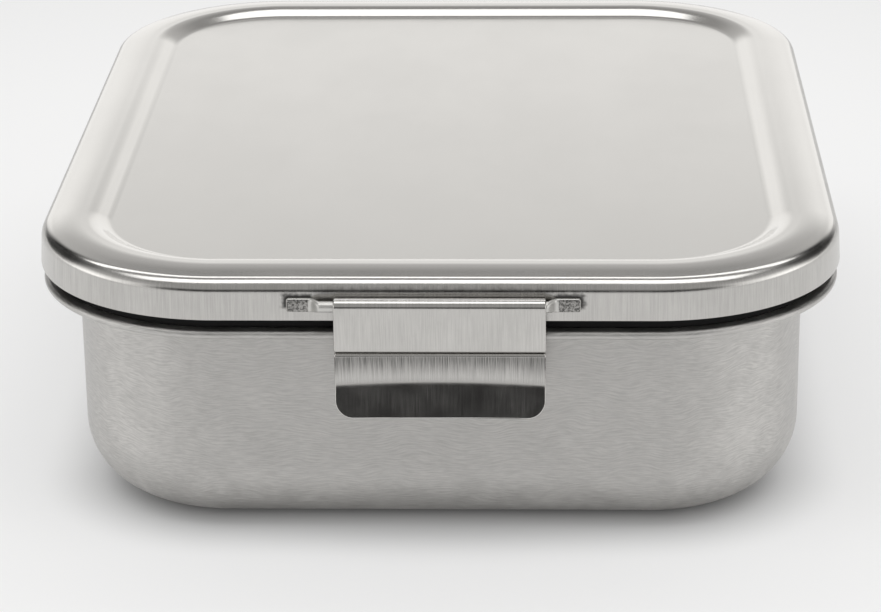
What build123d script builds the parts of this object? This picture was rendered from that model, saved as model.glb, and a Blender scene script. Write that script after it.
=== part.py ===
from build123d import *
import os

# A steel lunch box: a deep-drawn tray, a pressed lid with a seal, and a clip at each short end.
# The frame: origin at the middle of the tray's flat bottom, +Z up, the front clip on the -Y side.
# Every outline is a rounded rectangle that lies a constant distance inside the lid's outline.

# Lid outline, seen from above, where the skirt ends
LID_WIDTH = 165.0
LID_DEPTH = 201.8
LID_CORNER = 39.4

# Sheet metal
SHEET = 0.6

# Lid pressing: heights, and distances in from the lid's outline, to corners that its bends round off
SKIRT_BOTTOM = 49.6
LID_TOP = 58.9
SKIRT_DRAFT = 0.5
SHOULDER_RADIUS = 2.4
SHOULDER_DROP = 0.8
BORDER_INSET = 10.6
BORDER_RADIUS = 12.0
STEP_WIDTH = 4.0
STEP_DEPTH = 1.7
STEP_RADIUS = 3.0
PANEL_INSET = 18.0

# Tray pressing
WALL_INSET = 7.7
BOTTOM_RADIUS = 15.0
FLANGE_TOP = 47.1
FLANGE_BEND = 1.6
BEAD_INSET = 0.45
BEAD_RADIUS = 0.9

# Seal: a web under the lid's border, and a leg that stands on the tray's flange
SEAL_OUTER = 1.7
SEAL_INNER = 7.4
SEAL_WEB_BOTTOM = 54.6
SEAL_LEG_OUTER = 2.6
SEAL_LEG_INNER = 5.6
SEAL_GAP = 0.1
SEAL_LID_GAP = 0.15

# Hinge bars, spot-welded to the skirt at both ends
HINGE_HEIGHT = 53.5
HINGE_STAND_OFF = 2.3
BAR_RADIUS = 1.1
BAR_STRAIGHT = 44.6
BAR_BEND_LENGTH = 2.4
BAR_BEND_RADIUS = 2.0
BAR_END_LENGTH = 1.0
BAR_SKIRT_GAP = 0.02
PAD_SPACING = 53.0
PAD_WIDTH = 4.6
PAD_HEIGHT = 2.8
PAD_THICKNESS = 1.1
PAD_CORNER = 0.5
WELD_SINK = 0.05

# Clips: distances out from the lid's outline, and heights. Each one has slid along its bar.
CLIP_WIDTH = 41.4
CLIP_SLIDE = 1.3
CLIP_CORNER = 3.3
ROLL_GAP = 0.1
FOLD_TOP_OUT = 3.6
FOLD_TOP_HEIGHT = 45.0
CATCH_OUT = -1.0
CATCH_HEIGHT = 44.8
CATCH_BACK_HEIGHT = 43.7
CATCH_RADIUS = 0.5
TAB_TOP_OUT = 3.0
TAB_TOP_HEIGHT = 43.5
TAB_BEND_HEIGHT = 37.4
TAB_END_OUT = 4.9
TAB_BOTTOM = 30.2

# The plane of a profile: its x runs in from the lid's outline, and its y is the height.
PROFILE_PLANE = Plane(origin=(0, -LID_DEPTH / 2, 0), x_dir=(0, 1, 0), z_dir=(1, 0, 0))


def moved_sideways(points, distance):
    """The corners of an open polyline, moved to its left by a distance."""
    points = [Vector(*point) for point in points]
    runs = [(end - start).normalized() for start, end in zip(points, points[1:])]
    lefts = [Vector(-run.Y, run.X) for run in runs]
    moved = [points[0] + lefts[0] * distance]
    for point, before, after in zip(points[1:-1], lefts, lefts[1:]):
        moved.append(point + (before + after) * (distance / (1 + before.dot(after))))
    moved.append(points[-1] + lefts[-1] * distance)
    return moved


def turns_left(start, corner, end):
    """Whether a polyline turns left at a corner."""
    before = Vector(*corner) - Vector(*start)
    after = Vector(*end) - Vector(*corner)
    return before.X * after.Y > before.Y * after.X


def side_line(points, radii, distance):
    """A filleted polyline at a distance to the left of the middle line through the points."""
    corners = zip(points, points[1:], points[2:])
    changes = [-distance if turns_left(*corner) else distance for corner in corners]
    line_radii = [radius + change for radius, change in zip(radii, changes)]
    return FilletPolyline(*moved_sideways(points, distance), radius=line_radii)


def sheet_section(points, radii, thickness=SHEET):
    """The section of a bent sheet whose middle line has these corners and bend radii."""
    left = side_line(points, radii, thickness / 2)
    right = side_line(points, radii, -thickness / 2)
    ends = [Line(left @ 0, right @ 0), Line(left @ 1, right @ 1)]
    return make_face([left.edges(), right.edges(), ends])


def outline(inset):
    """The rounded rectangle at a distance inside the lid's outline."""
    return RectangleRounded(LID_WIDTH - 2 * inset, LID_DEPTH - 2 * inset, LID_CORNER - inset)


def ring_path():
    """The lid's outline as a closed line that starts in the middle of the front side."""
    x, y, r = LID_WIDTH / 2, LID_DEPTH / 2, LID_CORNER
    corners = [(0, -y), (x, -y), (x, y), (-x, y), (-x, -y)]
    return FilletPolyline(*corners, (0, -y), radius=[0, r, r, r, r], close=True)


def ring(section):
    """A section carried once round the lid's outline."""
    return sweep(PROFILE_PLANE * section, path=ring_path().wire())


def plate(inset, bottom):
    """A flat sheet inside a rounded rectangle."""
    return Pos(0, 0, bottom) * extrude(outline(inset), SHEET)


def make_tray():
    half = SHEET / 2
    wall = WALL_INSET + half
    flange = FLANGE_TOP - half
    bead_middle = BEAD_INSET + BEAD_RADIUS
    bottom_edge = WALL_INSET + BOTTOM_RADIUS + 1
    points = [(bead_middle, flange), (wall, flange), (wall, half), (bottom_edge, half)]
    section = sheet_section(points, [FLANGE_BEND, BOTTOM_RADIUS - half])
    bead = Pos(bead_middle, FLANGE_TOP - BEAD_RADIUS) * Circle(BEAD_RADIUS)
    return ring(section + bead) + plate(bottom_edge, 0)


def lid_points():
    """The middle line of the lid's sheet, from the skirt's edge in to the flat panel."""
    half = SHEET / 2
    top = LID_TOP - half
    panel = top - STEP_DEPTH
    return [
        (half, SKIRT_BOTTOM),
        (SKIRT_DRAFT + half, top - SHOULDER_DROP),
        (BORDER_INSET, top),
        (BORDER_INSET + STEP_WIDTH, panel),
        (PANEL_INSET, panel),
    ]


def make_lid_shell():
    points = lid_points()
    radii = [SHOULDER_RADIUS - SHEET / 2, BORDER_RADIUS, STEP_RADIUS]
    panel_bottom = points[-1][1] - SHEET / 2
    return ring(sheet_section(points, radii)) + plate(PANEL_INSET, panel_bottom)


def make_lid_seal():
    web_top = LID_TOP - SHEET - SHOULDER_DROP - SEAL_LID_GAP
    leg_bottom = FLANGE_TOP + SEAL_GAP
    bevel = SHOULDER_RADIUS / 2
    corners = [
        (SEAL_OUTER, SEAL_WEB_BOTTOM),
        (SEAL_LEG_OUTER, SEAL_WEB_BOTTOM),
        (SEAL_LEG_OUTER, leg_bottom),
        (SEAL_LEG_INNER, leg_bottom),
        (SEAL_LEG_INNER, SEAL_WEB_BOTTOM),
        (SEAL_INNER, SEAL_WEB_BOTTOM),
        (SEAL_INNER, web_top),
        (SEAL_OUTER + bevel, web_top),
        (SEAL_OUTER, web_top - bevel),
    ]
    return ring(make_face(Polyline(*corners, close=True)))


def skirt_out(height):
    """How far the skirt's face stands out from the lid's outline at a height."""
    (foot_in, foot), (top_in, top) = lid_points()[:2]
    return -(top_in - foot_in) * (height - foot) / (top - foot)


def skirt_tilt():
    """The skirt's lean from upright, in degrees."""
    (foot_in, foot), (top_in, top) = lid_points()[:2]
    return (Vector(top, 0) - Vector(foot, 0)).get_angle(Vector(top - foot, top_in - foot_in))


def make_front_bar():
    end_out = skirt_out(HINGE_HEIGHT) + BAR_RADIUS + BAR_SKIRT_GAP
    half_straight = BAR_STRAIGHT / 2
    bend_end = half_straight + BAR_BEND_LENGTH
    bar_end = bend_end + BAR_END_LENGTH
    half_route = [(bar_end, end_out), (bend_end, end_out), (half_straight, HINGE_STAND_OFF)]
    route = half_route + [(-x, out) for x, out in reversed(half_route)]
    points = [(x, -LID_DEPTH / 2 - out, HINGE_HEIGHT) for x, out in route]
    path = FilletPolyline(*points, radius=BAR_BEND_RADIUS)
    start = Plane(origin=path @ 0, z_dir=path % 0)
    bar = sweep(start * Circle(BAR_RADIUS), path=path.wire())
    return bar + [make_weld_pad(side * PAD_SPACING / 2) for side in (-1, 1)]


def make_weld_pad(x):
    """A flattened end of the bar, lying on the skirt."""
    out = skirt_out(HINGE_HEIGHT) + PAD_THICKNESS / 2 - WELD_SINK
    pad = extrude(RectangleRounded(PAD_WIDTH, PAD_HEIGHT, PAD_CORNER), PAD_THICKNESS / 2, both=True)
    return Pos(x, -LID_DEPTH / 2 - out, HINGE_HEIGHT) * Rot(X=90 - skirt_tilt()) * pad


def clip_section():
    """The clip's section: x out from the lid's outline, y the height."""
    inner = BAR_RADIUS + ROLL_GAP
    outer = inner + SHEET
    roll = Circle(outer) - Circle(inner)
    roll -= Pos(inner / 2, -outer / 2) * Rectangle(inner, outer)
    plate_out = HINGE_STAND_OFF + (inner + outer) / 2
    points = [
        (plate_out, HINGE_HEIGHT),
        (FOLD_TOP_OUT, FOLD_TOP_HEIGHT),
        (CATCH_OUT, CATCH_HEIGHT),
        (CATCH_OUT, CATCH_BACK_HEIGHT),
        (TAB_TOP_OUT, TAB_TOP_HEIGHT),
        (TAB_TOP_OUT, TAB_BEND_HEIGHT),
        (TAB_END_OUT, TAB_BOTTOM),
    ]
    bent_plate = sheet_section(points, [0.7, CATCH_RADIUS, CATCH_RADIUS, 1.2, 5.0])
    return Pos(HINGE_STAND_OFF, HINGE_HEIGHT) * roll + bent_plate


def make_front_clip():
    plane = Plane(origin=(0, -LID_DEPTH / 2, 0), x_dir=(0, -1, 0), z_dir=(-1, 0, 0))
    strip = Pos(CLIP_SLIDE, 0, 0) * extrude(plane * clip_section(), CLIP_WIDTH / 2, both=True)
    height = 2 * (HINGE_HEIGHT - TAB_BOTTOM)
    front = RectangleRounded(CLIP_WIDTH, height, CLIP_CORNER)
    origin = (CLIP_SLIDE, -LID_DEPTH / 2, HINGE_HEIGHT)
    front_plane = Plane(origin=origin, x_dir=(1, 0, 0), z_dir=(0, -1, 0))
    return strip & extrude(front_plane * front, CLIP_WIDTH / 2, both=True)


def turned_to_rear(piece):
    """The same piece at the other short end."""
    return Rot(Z=180) * piece


def main():
    front_bar = make_front_bar()
    front_clip = make_front_clip()
    pieces = {
        "tray": make_tray(),
        "lid_shell": make_lid_shell(),
        "lid_seal": make_lid_seal(),
        "front_hinge_bar": front_bar,
        "rear_hinge_bar": turned_to_rear(front_bar),
        "front_clip": front_clip,
        "rear_clip": turned_to_rear(front_clip),
    }
    os.makedirs("parts", exist_ok=True)
    for name, shape in pieces.items():
        export_step(shape, f"parts/{name}.step")


main()
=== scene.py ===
import math

import bmesh
import bpy
import numpy as np
from mathutils import Matrix, Vector


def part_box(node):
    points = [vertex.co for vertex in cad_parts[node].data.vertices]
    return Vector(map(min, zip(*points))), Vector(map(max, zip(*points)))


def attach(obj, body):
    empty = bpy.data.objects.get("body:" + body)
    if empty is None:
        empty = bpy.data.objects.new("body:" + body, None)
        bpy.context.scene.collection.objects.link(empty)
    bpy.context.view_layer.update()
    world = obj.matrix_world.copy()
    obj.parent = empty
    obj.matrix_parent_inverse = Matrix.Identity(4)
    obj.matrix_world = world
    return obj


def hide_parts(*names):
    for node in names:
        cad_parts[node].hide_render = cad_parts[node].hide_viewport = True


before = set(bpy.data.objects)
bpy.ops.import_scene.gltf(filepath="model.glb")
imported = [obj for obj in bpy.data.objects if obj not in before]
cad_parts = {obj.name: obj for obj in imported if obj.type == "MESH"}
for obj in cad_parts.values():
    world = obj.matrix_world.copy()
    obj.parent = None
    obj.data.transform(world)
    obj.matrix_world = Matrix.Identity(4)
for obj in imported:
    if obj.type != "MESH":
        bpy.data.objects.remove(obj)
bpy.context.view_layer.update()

# Sheet parts are bent middle lines with a thickness, carried round the lid's outline or across a clip.
# A profile's points are (distance in from the lid's outline, height) and a clip's are (out, height).
MM = 0.001
SHEET = 0.6 * MM
HALF_SHEET = SHEET / 2

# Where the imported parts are
lid_low, lid_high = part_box("lid_shell")
tray_low, tray_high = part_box("tray")
seal_low, seal_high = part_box("lid_seal")
bar_low, bar_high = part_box("front_hinge_bar")
clip_low, clip_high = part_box("front_clip")

HALF_WIDTH = lid_high.x
HALF_DEPTH = lid_high.y
LID_CORNER = 39.4 * MM
PANEL_DROP = 1.7 * MM
PANEL_STARTS = 14.5 * MM

# The hinge bars and the clips, measured out from the lid's ends
HINGE_OUT = 2.3 * MM
BAR_RADIUS = 1.1 * MM
ROLL_GAP = 0.1 * MM
HINGE_HEIGHT = clip_high.z - BAR_RADIUS - ROLL_GAP - SHEET
PAD_MIDDLE = 27.4 * MM
TAB_TOP = HINGE_HEIGHT - 9.5 * MM
TAB_CORNER = 3.3 * MM
TAB_BOW = 1.6 * MM
# How far the band of painted shade reaches down the finger tab: a dark reflection painted into the tab's
# colour, strongest at its top.
TAB_PAINTED_SHADE_LENGTH = 6.5 * MM


# ---------------------------------------------------------------- lines and meshes


def unit(vector):
    return np.asarray(vector, float) / np.linalg.norm(vector)


def left_of(directions):
    """The directions turned a quarter to the left."""
    directions = np.asarray(directions, float)
    return np.stack([-directions[..., 1], directions[..., 0]], -1)


def arc(centre, radius, start, end, step=4):
    """Points on an arc between two angles in degrees, and the way along it at each."""
    angles = np.radians(np.linspace(start, end, max(2, math.ceil(abs(end - start) / step) + 1)))
    spokes = np.stack([np.cos(angles), np.sin(angles)], 1)
    ways = left_of(spokes) * math.copysign(1, end - start)
    return np.asarray(centre) + radius * spokes, ways


def rounded_line(corners, radii, step=4):
    """Points on a polyline with rounded corners, and the way along it at each."""
    corners = [np.array(corner, float) for corner in corners]
    points, ways = [corners[:1]], [[unit(corners[1] - corners[0])]]
    for before, corner, after, radius in zip(corners, corners[1:], corners[2:], radii):
        way_in, way_out = unit(corner - before), unit(after - corner)
        turn = math.atan2(way_in[0] * way_out[1] - way_in[1] * way_out[0], way_in @ way_out)
        side = math.copysign(1, turn)
        centre = corner - way_in * radius * math.tan(abs(turn) / 2) + side * left_of(way_in) * radius
        start = math.degrees(math.atan2(*(-side * left_of(way_in))[::-1]))
        bend_points, bend_ways = arc(centre, radius, start, start + math.degrees(turn), step)
        points.append(bend_points)
        ways.append(bend_ways)
    points.append(corners[-1:])
    ways.append([unit(corners[-1] - corners[-2])])
    return np.concatenate(points), np.concatenate(ways)


def joined(*lines):
    """Several (points, ways) lines as one."""
    return np.concatenate([line[0] for line in lines]), np.concatenate([line[1] for line in lines])


def sheet_profile(line, thickness=SHEET, edge_steps=6):
    """The skin of a sheet with this middle line, and its normals: from the line's end, back over its
    left face, round the sheet's edge at its start, and along its right face to the end."""
    points, ways = line
    lefts = left_of(ways)
    half = thickness / 2
    turns = np.radians(np.linspace(0, 180, edge_steps + 2))[1:-1, None]
    edge = np.cos(turns) * lefts[0] - np.sin(turns) * ways[0]
    skin = [points[::-1] + half * lefts[::-1], points[0] + half * edge, points - half * lefts]
    return np.concatenate(skin), np.concatenate([lefts[::-1], edge, -lefts])


def stations(corner_step=2.5, straight_step=4 * MM):
    """Places round the lid's outline from the middle of the back: the point, the outward way, and the
    distance covered so far. The last place is the first one again."""
    x, y = HALF_WIDTH - LID_CORNER, HALF_DEPTH - LID_CORNER
    points, outs = [np.array([0, HALF_DEPTH])], [np.array([0.0, 1.0])]
    for number, (sign_x, sign_y) in enumerate([(-1, 1), (-1, -1), (1, -1), (1, 1), (0, 1)]):
        angles = np.radians(np.arange(0, 90 + corner_step / 2, corner_step) + 90 * (number + 1))
        spokes = np.stack([np.cos(angles), np.sin(angles)], 1)
        corner = np.array([sign_x * x, sign_y * y]) + LID_CORNER * spokes
        if number == 4:
            corner, spokes = np.array([[0, HALF_DEPTH]]), spokes[:1]
        run = corner[0] - points[-1]
        count = max(1, int(np.linalg.norm(run) / straight_step))
        for share in np.arange(1, count) / count:
            outs.append(spokes[0])
            points.append(corner[0] - run * (1 - share))
        points.extend(corner)
        outs.extend(spokes)
    points, outs = np.array(points), np.array(outs)
    lengths = np.linalg.norm(np.diff(points, axis=0), axis=1)
    return points, outs, np.concatenate([[0], np.cumsum(lengths)])


def covered(points):
    """The distance covered so far at each point of a line."""
    return np.concatenate([[0], np.cumsum(np.linalg.norm(np.diff(points, axis=0), axis=1))])


def new_mesh_object(name, vertices, faces, normals, uvs, zones=None):
    """A smooth mesh object with exact normals. uvs holds one pair per face corner, in metres."""
    mesh = bpy.data.meshes.new(name)
    mesh.from_pydata([tuple(v) for v in vertices], [], [tuple(f) for f in faces])
    layer = mesh.uv_layers.new(name="UVMap")
    layer.data.foreach_set("uv", np.asarray(uvs, np.float32).ravel())
    mesh.polygons.foreach_set("use_smooth", np.ones(len(mesh.polygons), bool))
    if zones is not None:
        mesh.polygons.foreach_set("material_index", np.asarray(zones, np.int32))
    mesh.normals_split_custom_set_from_vertices([tuple(n) for n in normals])
    mesh.validate()
    thing = bpy.data.objects.new(name, mesh)
    bpy.context.scene.collection.objects.link(thing)
    return thing


def grid_faces(rows, columns, close_rows, close_columns, flip):
    """Quads between the rows and columns of a grid of vertices, and each quad's (row, column)."""
    last_row = rows if close_rows else rows - 1
    last_column = columns if close_columns else columns - 1
    faces, places = [], []
    for row in range(last_row):
        for column in range(last_column):
            a, b = row * columns, (row + 1) % rows * columns
            c, d = column, (column + 1) % columns
            quad = [a + c, b + c, b + d, a + d]
            faces.append(quad[::-1] if flip else quad)
            ends = [(row, column), (row + 1, column), (row + 1, column + 1), (row, column + 1)]
            places.append(ends[::-1] if flip else ends)
    return faces, places


def ring(name, profile, closed=False, zone_of=None):
    """A profile carried once round the lid's outline, with flat ends filled in if it isn't closed."""
    (points, normals), (path, outs, along) = profile, stations()
    path, outs = path[:-1], outs[:-1]
    count = len(points)
    flat = path[:, None] - outs[:, None] * points[None, :, :1]
    heights = np.repeat(points[None, :, 1:], len(path), 0)
    vertices = np.concatenate([flat, heights], 2).reshape(-1, 3)
    sideways = -outs[:, None] * normals[None, :, :1]
    upward = np.repeat(normals[None, :, 1:], len(path), 0)
    vertex_normals = np.concatenate([sideways, upward], 2).reshape(-1, 3)
    first = vertices[[0, count, count + 1]]
    facing = np.cross(first[1] - first[0], first[2] - first[0]) @ vertex_normals[0]
    faces, places = grid_faces(len(path), count, True, closed, facing < 0)
    across = covered(np.concatenate([points, points[:1]]))
    uvs = [(along[row], across[column]) for ends in places for row, column in ends]
    zones = [0 if zone_of is None else zone_of(ends[0][1]) for ends in places]
    if not closed:
        for column in (0, count - 1):
            cap = [row * count + column for row in range(len(path))]
            cap = cap if normals[column][1] > 0 else cap[::-1]
            faces.append(cap)
            uvs.extend(tuple(vertices[corner][:2]) for corner in cap)
            zones.append(0 if zone_of is None else zone_of(column))
    return new_mesh_object(name, vertices, faces, vertex_normals, uvs, zones)


# ---------------------------------------------------------------- materials


class Nodes:
    """Short names for making shader nodes."""

    def __init__(self, tree):
        self.tree = tree
        tree.nodes.clear()

    def add(self, kind, settings=None, **inputs):
        node = self.tree.nodes.new(kind)
        for name, value in (settings or {}).items():
            setattr(node, name, value)
        for name, value in inputs.items():
            self.put(node, name.replace("_", " "), value)
        return node

    def put(self, node, name, value):
        socket = node.inputs[int(name)] if name.isdigit() else node.inputs[name]
        if isinstance(value, bpy.types.NodeSocket):
            self.tree.links.new(value, socket)
        else:
            socket.default_value = value

    def math(self, operation, first, second=0.0, third=0.0):
        node = self.add("ShaderNodeMath", {"operation": operation})
        for number, value in enumerate((first, second, third)):
            self.put(node, str(number), value)
        return node.outputs[0]

    def ramp(self, value, low, high, to_low=0.0, to_high=1.0):
        """A smooth change from one value to another as value goes from low to high."""
        settings = {"interpolation_type": "SMOOTHSTEP"}
        node = self.add("ShaderNodeMapRange", settings, Value=value)
        for name, number in zip(("From Min", "From Max", "To Min", "To Max"), (low, high, to_low, to_high)):
            node.inputs[name].default_value = number
        return node.outputs[0]

    def noise(self, coordinate, stretch, detail=3.0, roughness=0.6, distortion=0.0):
        """Noise whose grains are as long as stretch says along each axis, in metres."""
        scale = [1 / length for length in stretch]
        mapped = self.add("ShaderNodeMapping", Vector=coordinate, Scale=scale).outputs[0]
        settings = {"noise_dimensions": "3D"}
        node = self.add("ShaderNodeTexNoise", settings, Vector=mapped, Scale=1.0, Detail=detail)
        node.inputs["Roughness"].default_value = roughness
        node.inputs["Distortion"].default_value = distortion
        return node.outputs[0]

    def bump(self, height, depth, normal=None):
        node = self.add("ShaderNodeBump", Height=height, Distance=depth, Strength=1.0)
        if normal is not None:
            self.put(node, "Normal", normal)
        return node.outputs[0]


def new_material(name):
    material = bpy.data.materials.new(name)
    material.use_nodes = True
    nodes = Nodes(material.node_tree)
    shader = nodes.add("ShaderNodeBsdfPrincipled")
    nodes.add("ShaderNodeOutputMaterial", Surface=shader.outputs[0])
    return material, nodes, shader


def varied(nodes, shader, colour, shade):
    """The colour times a shade."""
    grey = nodes.add("ShaderNodeCombineColor", Red=shade, Green=shade, Blue=shade).outputs[0]
    tint = nodes.add("ShaderNodeMix", {"data_type": "RGBA", "blend_type": "MULTIPLY"})
    tint.inputs[0].default_value = 1.0
    tint.inputs[6].default_value = (*colour, 1)
    nodes.put(tint, "7", grey)
    nodes.put(shader, "Base Color", tint.outputs[2])


def satin(name, colour, roughness):
    """Smooth steel with faint cloudy marks."""
    material, nodes, shader = new_material(name)
    place = nodes.add("ShaderNodeTexCoord").outputs["Object"]
    clouds = nodes.noise(place, (25 * MM, 40 * MM, 25 * MM), detail=3.0)
    grain = nodes.noise(place, (0.4 * MM, 1.5 * MM, 0.4 * MM), detail=2.0)
    varied(nodes, shader, colour, nodes.ramp(grain, 0.3, 0.7, 0.985, 1.0))
    nodes.put(shader, "Roughness", nodes.ramp(clouds, 0.3, 0.7, roughness - 0.015, roughness + 0.015))
    shader.inputs["Metallic"].default_value = 1.0
    return material


def near(nodes, value, middle, reach, soft):
    """1 where value is within reach of middle, and 0 beyond."""
    away = nodes.math("ABSOLUTE", nodes.math("SUBTRACT", value, middle))
    return nodes.ramp(away, reach + soft, reach - soft)


def weld_marks(nodes):
    """How much light the skirt throws back: less at the welding scorch round the pads, which is partly a
    painted shadow above them, and in a band of painted shadow above the wire.
    """
    place = nodes.add("ShaderNodeTexCoord").outputs["Object"]
    patches = nodes.noise(place, (1.2 * MM, 1.2 * MM, 1.2 * MM), detail=3.0)
    x, y, z = nodes.add("ShaderNodeSeparateXYZ", Vector=place).outputs
    x = nodes.math("MULTIPLY_ADD", patches, 1.6 * MM, nodes.math("ABSOLUTE", x))
    z = nodes.math("MULTIPLY_ADD", patches, 1.2 * MM, z)
    at_ends = nodes.ramp(nodes.math("ABSOLUTE", y), HALF_DEPTH - 2 * MM, HALF_DEPTH - 1 * MM)
    # Welding scorch round the pads, partly a painted shadow above them.
    weld_across = near(nodes, x, PAD_MIDDLE, 3.0 * MM, 0.6 * MM)
    weld_up = near(nodes, z, HINGE_HEIGHT + 0.8 * MM, 1.5 * MM, 0.5 * MM)
    weld_scorch_and_shadow = nodes.math("MULTIPLY", nodes.math("MULTIPLY", weld_across, weld_up), 0.88)
    # Painted shadow: a band darkened on the skirt just above the wire.
    wire_across = near(nodes, x, 0.0, 24.0 * MM, 2.0 * MM)
    wire_up = near(nodes, z, HINGE_HEIGHT + 1.9 * MM, 1.3 * MM, 0.7 * MM)
    wire = nodes.math("MULTIPLY", nodes.math("MULTIPLY", wire_across, wire_up), 0.5)
    marks = nodes.math("MAXIMUM", weld_scorch_and_shadow, wire)
    return nodes.math("SUBTRACT", 1.0, nodes.math("MULTIPLY", marks, at_ends))


def knurled(name, colour):
    """The rough flattened end of a wire."""
    material, nodes, shader = new_material(name)
    place = nodes.add("ShaderNodeTexCoord").outputs["Object"]
    dots = nodes.noise(place, (0.35 * MM, 0.35 * MM, 0.35 * MM), detail=1.0)
    varied(nodes, shader, colour, nodes.ramp(dots, 0.35, 0.65, 0.18, 0.62))
    nodes.put(shader, "Normal", nodes.bump(dots, 0.08 * MM))
    shader.inputs["Roughness"].default_value = 0.4
    shader.inputs["Metallic"].default_value = 1.0
    return material


def brushed(name, colour, roughness, grain, sideways=False, painted_shade_band=None, scorch_and_painted_shade=False, **strength):
    """Steel with fine scratches; grain is their size along and across the sheet in its UV map.
    painted_shade_band is where a band of painted shade, a dark reflection painted into the colour,
    starts and ends along the UV map's second axis, and scorch_and_painted_shade darkens the steel round
    the hinge bars with welding scorch and painted shadow. strength may give the scratches' contrast and how
    uneven they make the roughness."""
    contrast = strength.get("contrast", 0.14)
    uneven = strength.get("uneven", 0.02)
    material, nodes, shader = new_material(name)
    place = nodes.add("ShaderNodeTexCoord").outputs["UV"]
    if sideways:
        waves = nodes.noise(place, (14 * MM, 10 * MM, 14 * MM), detail=1.0)
        shift = nodes.add("ShaderNodeCombineXYZ", Y=nodes.math("MULTIPLY", waves, 5 * MM)).outputs[0]
        moved = nodes.add("ShaderNodeVectorMath", {"operation": "ADD"})
        nodes.put(moved, "0", place)
        nodes.put(moved, "1", shift)
        place = moved.outputs[0]
    scratches = nodes.noise(place, grain, detail=3.0, roughness=0.6)
    blotches = nodes.noise(place, (9 * MM, 9 * MM, 9 * MM), detail=4.0)
    shade = nodes.ramp(scratches, 0.3, 0.7, 1.0 - contrast, 1.0)
    # Painted shade: streaks darkened into the colour from the band's start, fading out by its end.
    if painted_shade_band:
        start, end = painted_shade_band
        along = nodes.add("ShaderNodeSeparateXYZ", Vector=place).outputs["Y"]
        fade_in = nodes.ramp(along, start - 0.2 * MM, start)
        inside = nodes.math("MULTIPLY", fade_in, nodes.ramp(along, end, start))
        patchy_painted_shade = nodes.math("MULTIPLY", inside, nodes.ramp(scratches, 0.2, 0.7, 0.85, 0.42))
        shade = nodes.math("MULTIPLY", shade, nodes.math("SUBTRACT", 1.0, patchy_painted_shade))
    # Darker skirt steel round the hinge bars: welding scorch and painted shadow.
    if scorch_and_painted_shade:
        shade = nodes.math("MULTIPLY", shade, weld_marks(nodes))
    cloud = nodes.ramp(blotches, 0.3, 0.7, 1.0 - contrast / 2, 1.0)
    varied(nodes, shader, colour, nodes.math("MULTIPLY", shade, cloud))
    fine = nodes.ramp(scratches, 0.3, 0.7, -uneven, uneven)
    rough = nodes.math("ADD", fine, nodes.ramp(blotches, 0.3, 0.7, -0.03, 0.03))
    nodes.put(shader, "Roughness", nodes.math("ADD", rough, roughness))
    nodes.put(shader, "Normal", nodes.bump(scratches, 0.002 * MM))
    shader.inputs["Metallic"].default_value = 1.0
    shader.inputs["Anisotropic"].default_value = 0.6
    shader.inputs["Anisotropic Rotation"].default_value = 0.25 if sideways else 0.0
    tangent = nodes.add("ShaderNodeTangent", {"direction_type": "UV_MAP", "uv_map": "UVMap"})
    nodes.put(shader, "Tangent", tangent.outputs[0])
    return material


def rubber(name):
    """Matt black silicone."""
    material, nodes, shader = new_material(name)
    place = nodes.add("ShaderNodeTexCoord").outputs["Object"]
    grain = nodes.noise(place, (0.3 * MM, 0.3 * MM, 0.3 * MM))
    nodes.put(shader, "Roughness", nodes.ramp(grain, 0.3, 0.7, 0.7, 0.85))
    nodes.put(shader, "Normal", nodes.bump(grain, 0.01 * MM))
    shade = nodes.ramp(grain, 0.3, 0.7, 0.006, 0.012)
    colour = nodes.add("ShaderNodeCombineColor", Red=shade, Green=shade, Blue=shade).outputs[0]
    shader.inputs["Specular IOR Level"].default_value = 0.25
    nodes.put(shader, "Base Color", colour)
    return material


STEEL = (0.68, 0.665, 0.64)
TRAY_STEEL = (0.66, 0.647, 0.627)
# The clips' steel, and also the lid skirt's, where its darker tone than the lid's top is a painted shade of
# the same sheet.
CLIP_STEEL_AND_PAINTED_SKIRT_SHADE = (0.62, 0.607, 0.585)


# ---------------------------------------------------------------- pieces


def lid_line():
    """The middle line of the lid's sheet, from the skirt's edge in to the flat panel."""
    foot = lid_low.z + HALF_SHEET
    top = lid_high.z - HALF_SHEET
    panel = top - PANEL_DROP
    corners = [
        (HALF_SHEET, foot),
        (0.75 * MM, top - 1.1 * MM),
        (6.2 * MM, top + 0.1 * MM),
        (10.9 * MM, top),
        (14.2 * MM, panel),
        (19.0 * MM, panel),
    ]
    return rounded_line(corners, [2.8 * MM, 18 * MM, 5.5 * MM, 3.5 * MM], step=1.5)


def make_lid():
    """The pressed lid: a satin panel, a smoother border and a brushed skirt."""
    profile = sheet_profile(lid_line())
    points, normals = profile
    # The crest's bend falls just short of the full height, so all but the skirt is raised to it.
    lift = lid_high.z - points[:, 1].max()
    points[:, 1] += lift * (points[:, 1] > lid_low.z + 5 * MM)
    panel_zone, border_zone, skirt_zone = 0, 1, 2

    def zone(column):
        if abs(normals[column][1]) < 0.8:
            return skirt_zone
        return panel_zone if points[column][0] > PANEL_STARTS else border_zone

    lid = ring("lid_shell_pressing", profile, zone_of=zone)
    skirt_grain = (0.22 * MM, 9 * MM, 1 * MM)
    lid.data.materials.append(satin("satin_panel", STEEL, 0.2))
    lid.data.materials.append(satin("satin_border", STEEL, 0.16))
    # The skirt takes the clips' darker steel as a painted shade.
    lid.data.materials.append(brushed("brushed_skirt", CLIP_STEEL_AND_PAINTED_SKIRT_SHADE, 0.22, skirt_grain, scorch_and_painted_shade=True))
    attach(lid, "lid")
    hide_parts("lid_shell")


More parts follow.
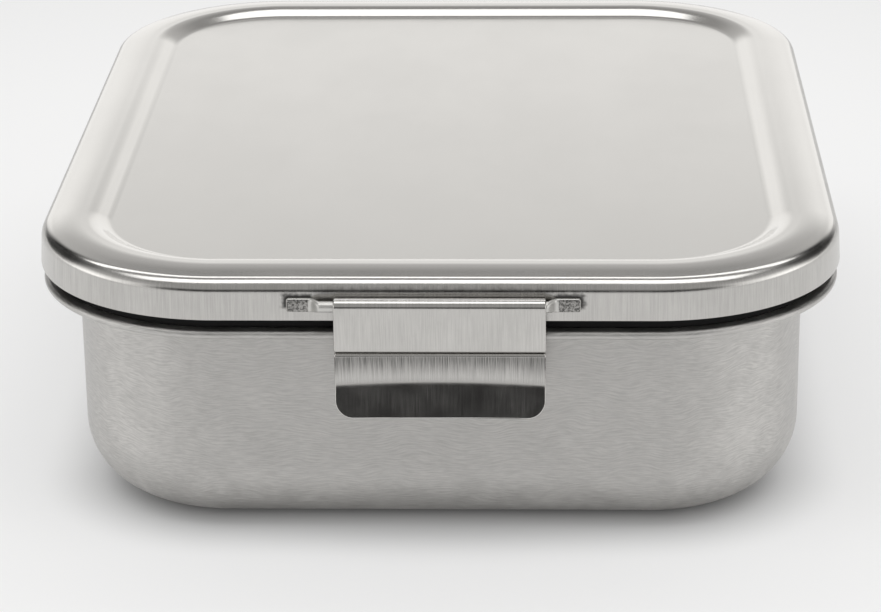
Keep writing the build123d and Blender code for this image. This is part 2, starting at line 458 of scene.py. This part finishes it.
def make_tray():
    """The deep-drawn tray: a curled bead, a flange, the wall and the rounded bottom."""
    bead_radius = 0.9 * MM
    bead_in = 1.35 * MM
    flange = tray_high.z - HALF_SHEET
    wall = 7.7 * MM + HALF_SHEET
    curl = arc((bead_in, tray_high.z - bead_radius), bead_radius - HALF_SHEET, 345, 90, step=8)
    bottom_radius = 15.0 * MM - HALF_SHEET
    floor = tray_low.z + HALF_SHEET
    corners = [(bead_in, flange), (wall, flange), (wall, floor), (wall + 17 * MM, floor)]
    rest = rounded_line(corners, [1.6 * MM, bottom_radius], step=2.5)
    tray = ring("tray_pressing", sheet_profile(joined(curl, rest)))
    grain = (3.5 * MM, 0.28 * MM, 1 * MM)
    look = brushed("brushed_tray", TRAY_STEEL, 0.42, grain, sideways=True, contrast=0.24, uneven=0.05)
    tray.data.materials.append(look)
    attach(tray, "tray")
    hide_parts("tray")


def make_seal():
    """A rubber ring under the lid's border, with a leg that stands on the tray's flange."""
    low, high = seal_low.z, seal_high.z
    web = high - 2.75 * MM
    corners = [
        (4.1 * MM, low), (5.6 * MM, low), (5.6 * MM, web), (7.4 * MM, web), (7.4 * MM, high),
        (2.9 * MM, high), (1.7 * MM, high - 1.2 * MM), (1.7 * MM, web), (2.6 * MM, web),
        (2.6 * MM, low), (4.1 * MM, low),
    ]
    leg_radius = 0.4 * MM
    web_radius = 0.3 * MM
    radii = [leg_radius] * 2 + [web_radius] * 6 + [leg_radius]
    points, ways = rounded_line(corners, radii, step=15)
    seal = ring("seal_gasket", (points[:-1], -left_of(ways[:-1])), closed=True)
    seal.data.materials.append(rubber("black_silicone"))
    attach(seal, "lid")
    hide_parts("lid_seal")


def clip_line():
    """The middle line of a clip's plate, from the roll's free edge to the finger tab's edge."""
    plate = HINGE_OUT + BAR_RADIUS + ROLL_GAP + HALF_SHEET
    roll = arc((HINGE_OUT, HINGE_HEIGHT), plate - HINGE_OUT, 262, 0, step=6)
    top = HINGE_HEIGHT
    corners = [
        (plate, top),
        (3.6 * MM, top - 8.9 * MM),
        (-1.0 * MM, top - 8.95 * MM),
        (-1.0 * MM, top - 9.7 * MM),
        (3.35 * MM, top - 9.65 * MM),
        (2.6 * MM, top - 14.9 * MM),
        (4.85 * MM, clip_low.z + HALF_SHEET + 0.6 * MM),
    ]
    bends = rounded_line(corners, [0.6 * MM, 0.36 * MM, 0.36 * MM, 0.5 * MM, 11 * MM], step=5)
    return joined(roll, bends)


def sheet_strip(line, half_width, corner):
    """A bent strip across X, of even width but for round corners at the line's end. At each place
    along it: the middle, the way its face looks, the way along, the half width and its slope."""
    points, ways = line
    lefts = left_of(ways)
    along = covered(points)
    extra = along[-1] - corner * (1 - np.cos(np.radians(np.arange(0, 91, 7.5))))[::-1]
    extra = extra[extra < along[-1]]
    places = np.unique(np.concatenate([along, extra, np.arange(0, along[-1], 0.5 * MM)]))
    places = places[np.concatenate([[True], np.diff(places) > 1e-7])]
    mids = np.stack([np.interp(places, along, points[:, axis]) for axis in (0, 1)], 1)
    faces_out = np.stack([np.interp(places, along, lefts[:, axis]) for axis in (0, 1)], 1)
    faces_out /= np.linalg.norm(faces_out, axis=1)[:, None]
    headings = -left_of(faces_out)
    into_corner = np.clip(corner - (along[-1] - places), 0, corner)
    left_over = np.sqrt(np.maximum(corner**2 - into_corner**2, 0))
    widths = half_width - corner + left_over
    slopes = np.where(into_corner > 0, into_corner / np.maximum(left_over, 1e-6), 0)
    return mids, faces_out, headings, widths, slopes, places


def make_clip(name, node, bar_side):
    """A bent plate rolled round its bar. bar_side is 1 for the front clip and -1 for the rear one."""
    half_width = (clip_high.x - clip_low.x) / 2 - HALF_SHEET
    mids, outs, headings, widths, slopes, places = sheet_strip(clip_line(), half_width, TAB_CORNER)
    across = np.linspace(-1, 1, 33)
    turns = np.radians(np.linspace(0, 180, 8))[1:-1]
    vertices, normals, uvs_at = [], [], []
    for mid, out, heading, width, slope, place in zip(mids, outs, headings, widths, slopes, places):
        side = unit((1, slope))
        for face in (1, -1):
            for share in across:
                x = face * share * width
                vertices.append((x, *(mid + face * out * HALF_SHEET)))
                normals.append((0, *(face * out)))
                uvs_at.append((x, place))
            for turn in turns:
                spin = face * math.cos(turn) * out + math.sin(turn) * side[1] * heading
                sideways = math.sin(turn) * side[0]
                vertices.append((face * (width + sideways * HALF_SHEET), *(mid + HALF_SHEET * spin)))
                normals.append((face * sideways, *spin))
                uvs_at.append((face * width, place))
    count = len(vertices) // len(places)
    faces, _ = grid_faces(len(places), count, False, True, False)
    faces.append([*range(count)])
    faces.append([(len(places) - 1) * count + k for k in reversed(range(count))])

    # The finger tab is bowed: its middle is higher than its sides.
    vertices = np.array(vertices)
    below = np.clip((TAB_TOP - vertices[:, 2]) / (TAB_TOP - clip_low.z), 0, 1)
    bow = 1 - (vertices[:, 0] / clip_high.x) ** 2
    vertices[:, 2] += TAB_BOW * bow * below * (1 - below) * 2

    vertices[:, 0] += (clip_high.x + clip_low.x) / 2
    normals = np.array(normals)
    world = np.stack([vertices[:, 0], -HALF_DEPTH - vertices[:, 1], vertices[:, 2]], 1)
    world_normals = np.stack([normals[:, 0], -normals[:, 1], normals[:, 2]], 1)
    if bar_side < 0:
        world[:, :2] *= -1
        world_normals[:, :2] *= -1
    quad = faces[0]
    facing = np.cross(world[quad[1]] - world[quad[0]], world[quad[2]] - world[quad[0]])
    if facing @ world_normals[quad[0]] < 0:
        faces = [face[::-1] for face in faces]
    uvs = [uvs_at[corner] for face in faces for corner in face]
    clip = new_mesh_object(name, world, faces, world_normals, uvs)

    # The band of painted shade starts near the top of the finger tab.
    past_catch = places > 18 * MM
    tab_start = float(np.interp(10.2 * MM - HINGE_HEIGHT, -mids[past_catch][:, 1], places[past_catch]))
    band = (tab_start, tab_start + TAB_PAINTED_SHADE_LENGTH)
    grain = (0.2 * MM, 8 * MM, 1 * MM)
    look = bpy.data.materials.get("brushed_clip")
    look = look or brushed("brushed_clip", CLIP_STEEL_AND_PAINTED_SKIRT_SHADE, 0.18, grain, painted_shade_band=band)
    clip.data.materials.append(look)
    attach(clip, node)
    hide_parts(node)


def make_bar(name, node, bar_side):
    """A wire whose bent ends are flattened on to the skirt. bar_side is 1 at the front and -1 at the back."""
    half_straight = 22.0 * MM
    bend_end = 24.3 * MM
    half_length = bar_high.x
    pad_thick = 0.55 * MM
    pad_tall = 1.4 * MM
    pad_drop = 0.4 * MM
    skirt_back = -(bar_high.y + HALF_DEPTH)
    end_out = skirt_back + pad_thick
    straight = np.linspace(0, half_straight, 12)
    bend = np.linspace(half_straight, bend_end, 14)[1:]
    pad = np.linspace(bend_end, half_length, 26)[1:]
    offsets = np.concatenate([straight, bend, pad])
    xs = np.concatenate([-offsets[::-1], offsets[1:]])
    angles = np.radians(np.arange(0, 360, 10))
    vertices = []
    for x in xs:
        share = np.clip((abs(x) - half_straight) / (bend_end - half_straight), 0, 1)
        blend = share * share * (3 - 2 * share)
        thick = BAR_RADIUS + (pad_thick - BAR_RADIUS) * blend
        tall = BAR_RADIUS + (pad_tall - BAR_RADIUS) * blend
        out = HINGE_OUT + (end_out - HINGE_OUT) * blend
        to_end = half_length - abs(x)
        round_off = math.sqrt(max(0.0, 1 - max(0.0, 1 - to_end / (0.5 * MM)) ** 2))
        thick *= 0.25 + 0.75 * round_off
        tall -= 0.45 * MM * (1 - round_off)
        power = 2 + 2 * blend
        for angle in angles:
            c, s = math.cos(angle), math.sin(angle)
            grow = (abs(c) ** power + abs(s) ** power) ** (-1 / power)
            depth = -HALF_DEPTH - out - thick * grow * c
            vertices.append((x, depth, HINGE_HEIGHT - pad_drop * blend + tall * grow * s))
    vertices = np.array(vertices)
    if bar_side < 0:
        vertices[:, :2] *= -1
    count = len(angles)
    faces, _ = grid_faces(len(xs), count, False, True, False)
    faces.append([*range(count)][::-1])
    faces.append([(len(xs) - 1) * count + k for k in range(count)])
    mesh = bpy.data.meshes.new(name)
    mesh.from_pydata([tuple(v) for v in vertices], [], faces)
    mesh.validate()
    mesh.polygons.foreach_set("use_smooth", np.ones(len(mesh.polygons), bool))
    work = bmesh.new()
    work.from_mesh(mesh)
    bmesh.ops.recalc_face_normals(work, faces=work.faces)
    work.to_mesh(mesh)
    work.free()
    bar = bpy.data.objects.new(name, mesh)
    bpy.context.scene.collection.objects.link(bar)
    bar.data.materials.append(bpy.data.materials.get("bar_steel") or satin("bar_steel", STEEL, 0.18))
    bar.data.materials.append(bpy.data.materials.get("knurled_ends") or knurled("knurled_ends", STEEL))
    for face in bar.data.polygons:
        outward = face.normal.y * bar_side < -0.75
        face.material_index = int(outward and abs(face.center.x) > bend_end + 0.2 * MM)
    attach(bar, "lid")
    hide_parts(node)


# ---------------------------------------------------------------- stage


def make_floor():
    """A pale floor that glows a little as painted light, but for near the box, where the missing glow is a
    painted contact shadow, and fades into the backdrop far away.
    """
    bpy.ops.mesh.primitive_circle_add(vertices=96, radius=4, fill_type="NGON")
    floor = bpy.context.object
    floor.name = "floor"
    material, nodes, shader = new_material("pale_floor")
    shader.inputs["Base Color"].default_value = (0.44, 0.44, 0.44, 1)
    shader.inputs["Roughness"].default_value = 0.9
    shader.inputs["Specular IOR Level"].default_value = 0.0
    place = nodes.add("ShaderNodeTexCoord").outputs["Object"]
    distance = nodes.add("ShaderNodeVectorMath", {"operation": "LENGTH"})
    nodes.put(distance, "0", place)
    nodes.put(shader, "Alpha", nodes.ramp(distance.outputs["Value"], 1.2, 3.0, 1.0, 0.0))
    beyond = nodes.add("ShaderNodeVectorMath", {"operation": "SUBTRACT"})
    size = nodes.add("ShaderNodeVectorMath", {"operation": "ABSOLUTE"})
    nodes.put(size, "0", place)
    nodes.put(beyond, "0", size.outputs[0])
    beyond.inputs[1].default_value = (HALF_WIDTH - LID_CORNER, HALF_DEPTH - LID_CORNER, 0)
    kept = nodes.add("ShaderNodeVectorMath", {"operation": "MAXIMUM"})
    nodes.put(kept, "0", beyond.outputs[0])
    reach = nodes.add("ShaderNodeVectorMath", {"operation": "LENGTH"})
    nodes.put(reach, "0", kept.outputs[0])
    # Painted light: the floor's glow, which falls to nothing close to the box as a painted contact shadow.
    glow = nodes.ramp(reach.outputs["Value"], 15 * MM, 44 * MM, 0.0, 0.46)
    far_fade = nodes.ramp(reach.outputs["Value"], 80 * MM, 450 * MM, 0.0, 0.1)
    glow = nodes.math("SUBTRACT", glow, far_fade)
    shader.inputs["Emission Color"].default_value = (1, 1, 1, 1)
    nodes.put(shader, "Emission Strength", glow)
    floor.data.materials.append(material)


def make_world():
    """A pale studio: light low down but for the camera's side, and darker higher up. wings are two
    dark panels behind the box, one to each side, and heading is 1 behind and -1 in front."""
    world = bpy.data.worlds.new("studio")
    bpy.context.scene.world = world
    world.use_nodes = True
    nodes = Nodes(world.node_tree)
    way = nodes.add("ShaderNodeTexCoord").outputs["Generated"]
    axes = nodes.add("ShaderNodeSeparateXYZ", Vector=way)
    x, y, z = axes.outputs
    squares = nodes.math("ADD", nodes.math("MULTIPLY", x, x), nodes.math("MULTIPLY", y, y))
    level = nodes.math("SQRT", squares)
    heading = nodes.math("DIVIDE", y, nodes.math("MAXIMUM", level, 0.001))
    sky = nodes.ramp(z, 0.27, 0.43, 1.13, 0.56)
    sky = nodes.math("SUBTRACT", sky, nodes.ramp(z, 0.45, 0.75, 0.0, 0.24))
    wings = nodes.math("MULTIPLY", nodes.ramp(heading, 0.92, 0.78), nodes.ramp(heading, 0.1, 0.25))
    wing_height = nodes.math("MULTIPLY", nodes.ramp(z, 0.0, 0.06), nodes.ramp(z, 0.75, 0.55))
    wings = nodes.math("MULTIPLY", wings, wing_height)
    sky = nodes.math("MULTIPLY", sky, nodes.math("MULTIPLY_ADD", wings, -0.97, 1.0))
    side_light = nodes.math("MULTIPLY", nodes.ramp(nodes.math("ABSOLUTE", heading), 0.6, 0.1), 0.9)
    sky = nodes.math("ADD", sky, nodes.math("MULTIPLY", side_light, nodes.ramp(z, 0.3, 0.1)))
    low_room = nodes.ramp(z, 0.21, 0.37, 0.035, 0.45)
    high_room = nodes.ramp(z, 0.8, 0.98, 0.0, -0.1)
    front_room = nodes.math("ADD", low_room, high_room)
    in_front = nodes.math("MULTIPLY", nodes.ramp(heading, -0.55, -0.86), nodes.ramp(z, -0.02, 0.04))
    seen = nodes.add("ShaderNodeMix", {"data_type": "FLOAT"})
    nodes.put(seen, "0", in_front)
    nodes.put(seen, "2", sky)
    nodes.put(seen, "3", front_room)
    path = nodes.add("ShaderNodeLightPath")
    filled = nodes.add("ShaderNodeMix", {"data_type": "FLOAT"})
    nodes.put(filled, "0", path.outputs["Is Diffuse Ray"])
    nodes.put(filled, "2", seen.outputs[0])
    filled.inputs[3].default_value = 0.6
    shown = nodes.add("ShaderNodeMix", {"data_type": "FLOAT"})
    nodes.put(shown, "0", path.outputs["Is Camera Ray"])
    nodes.put(shown, "2", filled.outputs[0])
    shown.inputs[3].default_value = 0.845
    background = nodes.add("ShaderNodeBackground", Color=(1, 0.995, 0.985, 1), Strength=shown.outputs[0])
    nodes.add("ShaderNodeOutputWorld", Surface=background.outputs[0])


def add_softbox(name, place, aim, size, power):
    """A rectangular light at a place, aimed at another, with its size in metres and power in watts."""
    light = bpy.data.lights.new(name, "AREA")
    light.shape = "RECTANGLE"
    light.size, light.size_y = size
    light.energy = power
    lamp = bpy.data.objects.new(name, light)
    lamp.location = place
    lamp.rotation_euler = (Vector(aim) - Vector(place)).to_track_quat("-Z", "Y").to_euler()
    bpy.context.scene.collection.objects.link(lamp)


def make_camera():
    """The camera stands in front of the box, a little to its right, and looks down on it."""
    place = Vector((21.13, -668.4, 275.7)) * MM
    turn_left, look_down, roll = (math.radians(angle) for angle in (1.99, 21.43, 0.64))
    level = math.cos(look_down)
    ahead = Vector((-math.sin(turn_left) * level, math.cos(turn_left) * level, -math.sin(look_down)))
    right = Vector((math.cos(turn_left), math.sin(turn_left), 0))
    down = ahead.cross(right)
    across = right * math.cos(roll) + down * math.sin(roll)
    up = right * math.sin(roll) - down * math.cos(roll)
    camera = bpy.data.cameras.new("camera")
    camera.sensor_width = 36
    camera.lens = 127.7
    camera.clip_start, camera.clip_end = 0.01, 50
    eye = bpy.data.objects.new("camera", camera)
    eye.matrix_world = Matrix((
        (across.x, up.x, -ahead.x, place.x),
        (across.y, up.y, -ahead.y, place.y),
        (across.z, up.z, -ahead.z, place.z),
        (0, 0, 0, 1),
    ))
    bpy.context.scene.collection.objects.link(eye)
    bpy.context.scene.camera = eye


make_lid()
make_seal()
make_tray()
make_bar("front_wire", "front_hinge_bar", 1)
make_bar("rear_wire", "rear_hinge_bar", -1)
make_clip("front_clip_plate", "front_clip", 1)
make_clip("rear_clip_plate", "rear_clip", -1)
make_floor()
make_world()
add_softbox("overhead", (0, -0.28, 1.15), (0, 0, 0), (1.9, 0.5), 6)
add_softbox("behind", (0, 0.5, 1.07), (0, 0, 0), (1.9, 0.28), 2.6)
make_camera()
bpy.context.scene.view_settings.view_transform = "Standard"
